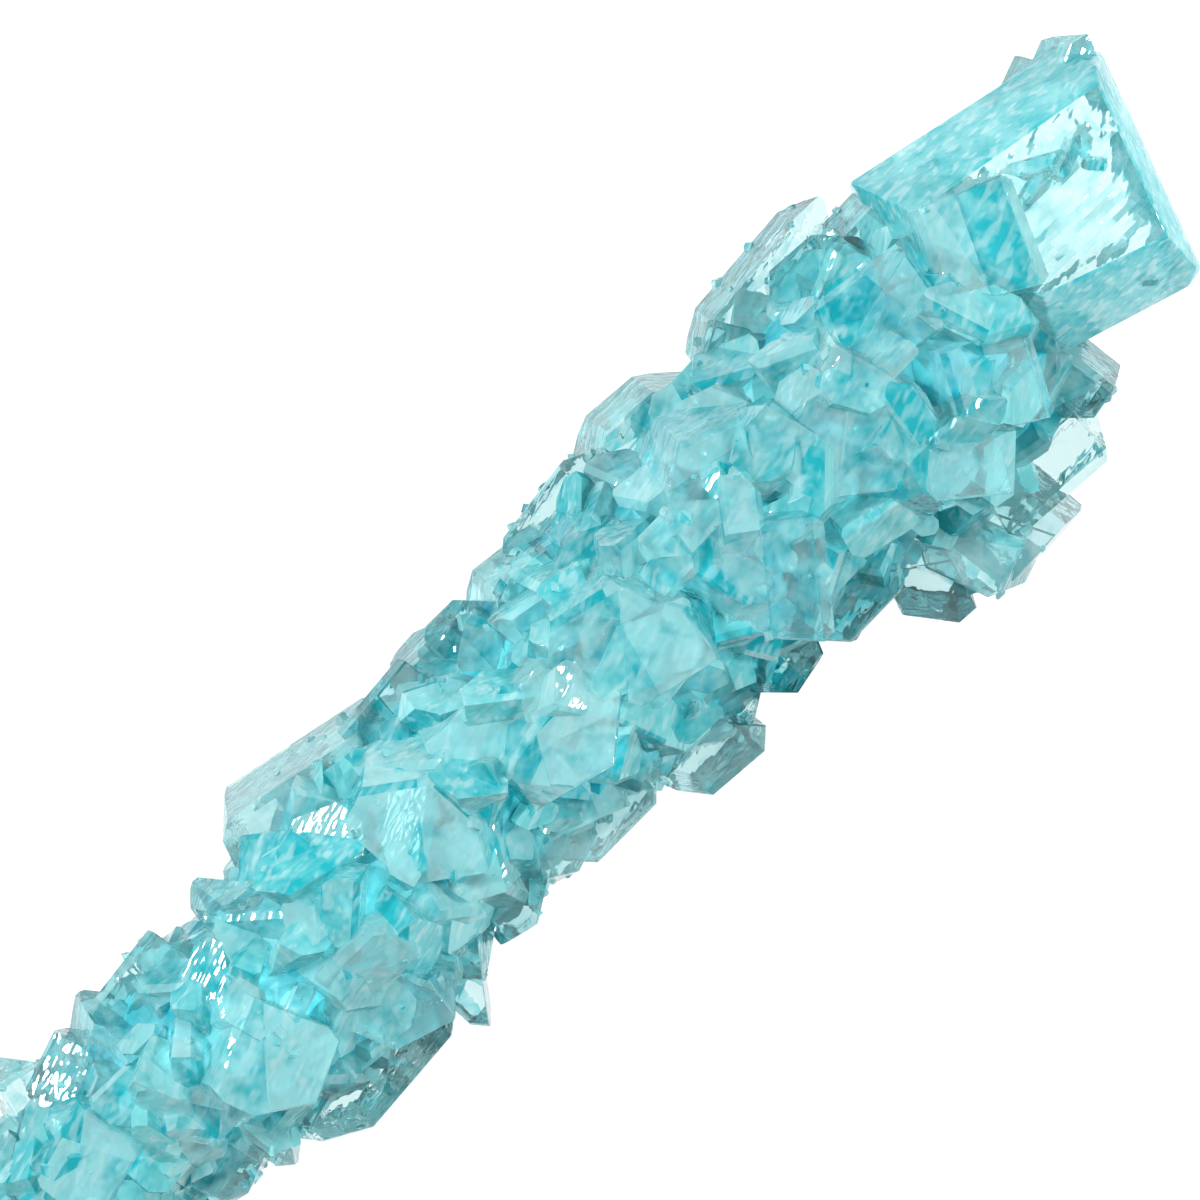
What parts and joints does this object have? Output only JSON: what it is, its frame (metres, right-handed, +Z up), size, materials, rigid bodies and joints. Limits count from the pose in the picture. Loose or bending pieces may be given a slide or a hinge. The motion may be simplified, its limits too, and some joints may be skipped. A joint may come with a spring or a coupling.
{
  "type": "rock candy stick",
  "caption": "Wooden stick half grown over with a fused mass of translucent pale blue sugar crystals.",
  "frame": {"origin": "middle of the footprint of the whole, on the surface it lies on", "axes": "+X along the stick from the bare handle to the candy's tip, +Z up, the shown side up, +Y across"},
  "size_m": [0.1702, 0.0288, 0.022],
  "materials": {
    "sugar": "clear to milky pale blue sugar crystals",
    "wood": "plain, unvarnished"
  },
  "bodies": {
    "root": {"crystals": "sugar", "stick": "wood"}
  },
  "joints": []
}
